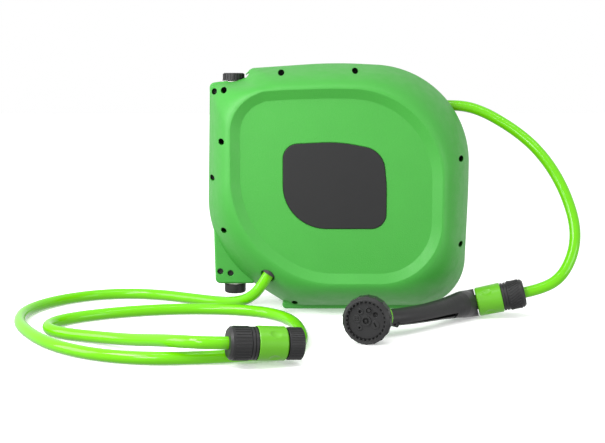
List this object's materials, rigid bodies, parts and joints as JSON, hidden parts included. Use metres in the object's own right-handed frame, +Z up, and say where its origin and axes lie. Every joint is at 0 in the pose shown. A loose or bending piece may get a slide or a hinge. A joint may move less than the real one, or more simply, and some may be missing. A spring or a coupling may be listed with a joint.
{
  "type": "garden hose reel",
  "caption": "Self-retracting garden hose reel in a two-part casing, pivoting for a wall bracket, with feed hose, quick connectors and a spray gun.",
  "frame": {"origin": "on the ground under the middle of the casing", "axes": "+X to the right seen from the front, +Y away from the front face, +Z up"},
  "size_m": [0.632, 0.3781, 0.2851],
  "materials": {
    "casing_green": "fine-grained moulded plastic",
    "panel_grey": "fine-grained moulded plastic",
    "black_plastic": "satin",
    "hose_green": "glossy PVC",
    "connector_green": "satin",
    "drum_plastic": "satin",
    "bearing_plastic": "satin",
    "steel": "zinc plated",
    "spring_steel": "blued",
    "brass": "machined",
    "rubber": "matt"
  },
  "bodies": {
    "reel": {"axle": "brass", "casing_screws": "steel", "feed_connector_body": "black_plastic", "feed_elbow": "drum_plastic", "feed_grommet": "rubber", "feed_hose": "hose_green", "feed_hose_clip": "steel", "feed_hose_inner": "hose_green", "feed_nut": "black_plastic", "front_casing": "casing_green", "front_panel": "panel_grey", "gun_body": "black_plastic", "gun_connector_body": "black_plastic", "gun_nut": "black_plastic", "gun_ring": "connector_green", "gun_trigger_pin": "steel", "gun_valve_spring": "spring_steel", "hose_run": "hose_green", "lower_bush": "bearing_plastic", "main_hose": "hose_green", "o_rings": "rubber", "outlet_guide": "black_plastic", "outlet_roller_pins": "steel", "pawl_pin": "steel", "pawl_spring": "spring_steel", "power_spring": "spring_steel", "rear_casing": "casing_green", "rear_panel": "panel_grey", "spring_arbor": "spring_steel", "tap_adapter": "black_plastic", "tap_washer": "rubber", "upper_bush": "bearing_plastic"},
    "drum": {"drum_hub": "drum_plastic", "drum_front_flange": "drum_plastic", "drum_rear_flange": "drum_plastic", "drum_screws": "steel", "front_bearing": "bearing_plastic", "rear_bearing": "bearing_plastic", "cover_bearing": "bearing_plastic", "inner_hose_end": "hose_green", "inner_hose_clip": "steel", "wound_hose": "hose_green", "spring_case": "drum_plastic", "spring_cover": "drum_plastic", "ratchet_wheel": "drum_plastic", "water_joint": "brass"},
    "pivots": {"lower_pivot": "black_plastic", "upper_pivot": "black_plastic"},
    "pawl": {"pawl": "drum_plastic"},
    "feed_sleeve": {"feed_connector_sleeve": "connector_green"},
    "gun_sleeve": {"gun_connector_sleeve": "connector_green"},
    "gun_trigger": {"gun_trigger": "black_plastic"},
    "gun_dial": {"gun_head": "black_plastic", "gun_face": "black_plastic"},
    "valve_stem": {"gun_valve_stem": "brass"},
    "roller_front": {"outlet_roller_front": "bearing_plastic"},
    "roller_rear": {"outlet_roller_rear": "bearing_plastic"},
    "roller_lower": {"outlet_roller_lower": "bearing_plastic"},
    "roller_upper": {"outlet_roller_upper": "bearing_plastic"}
  },
  "joints": [
    {"name": "drum_spin", "type": "hinge", "parent": "reel", "child": "drum", "pos_m": [0, 0, 0.148], "axis": [0, 1, 0], "continuous": true},
    {"name": "casing_swivel", "type": "hinge", "parent": "reel", "child": "pivots", "pos_m": [-0.1215, 0, 0.02], "axis": [0, 0, 1], "range_deg": [-90, 90]},
    {"name": "pawl_tilt", "type": "hinge", "parent": "reel", "child": "pawl", "pos_m": [0.084, 0.06, 0.124], "axis": [0, 1, 0], "range_deg": [0, 14], "stiffness_Nm_per_rad": 0.02, "springref_deg": -11.46},
    {"name": "feed_sleeve_slide", "type": "slide", "parent": "reel", "child": "feed_sleeve", "axis": [-0.9532, -0.2921, 0.078], "range_m": [0, 0.004], "stiffness_N_per_m": 400, "springref_m": -0.002},
    {"name": "gun_sleeve_slide", "type": "slide", "parent": "reel", "child": "gun_sleeve", "axis": [0.9698, -0.1002, 0.2224], "range_m": [0, 0.004], "stiffness_N_per_m": 400, "springref_m": -0.002},
    {"name": "trigger_squeeze", "type": "hinge", "parent": "reel", "child": "gun_trigger", "pos_m": [0.05142, -0.15327, 0.0124], "axis": [0.682, -0.7314, 0], "range_deg": [0, 2], "stiffness_Nm_per_rad": 0.6, "springref_deg": -5.73},
    {"name": "valve_travel", "type": "slide", "parent": "reel", "child": "valve_stem", "axis": [0.2504, 0.9681, 0], "range_m": [0, 0.003]},
    {"name": "dial_turn", "type": "hinge", "parent": "reel", "child": "gun_dial", "pos_m": [0.0237, -0.191, 0.0253], "axis": [-0.2504, -0.9681, 0], "continuous": true},
    {"name": "roller_front_spin", "type": "hinge", "parent": "reel", "child": "roller_front", "pos_m": [0.105, 0.0067, 0.237], "axis": [0, 0, 1], "continuous": true},
    {"name": "roller_rear_spin", "type": "hinge", "parent": "reel", "child": "roller_rear", "pos_m": [0.105, 0.0273, 0.237], "axis": [0, 0, 1], "continuous": true},
    {"name": "roller_lower_spin", "type": "hinge", "parent": "reel", "child": "roller_lower", "pos_m": [0.0935, 0.017, 0.2267], "axis": [0, 1, 0], "continuous": true},
    {"name": "roller_upper_spin", "type": "hinge", "parent": "reel", "child": "roller_upper", "pos_m": [0.0935, 0.017, 0.2473], "axis": [0, 1, 0], "continuous": true}
  ],
  "couplings": [
    {"joint": "valve_travel", "follows": "trigger_squeeze", "m_per_rad": 0.0858}
  ]
}
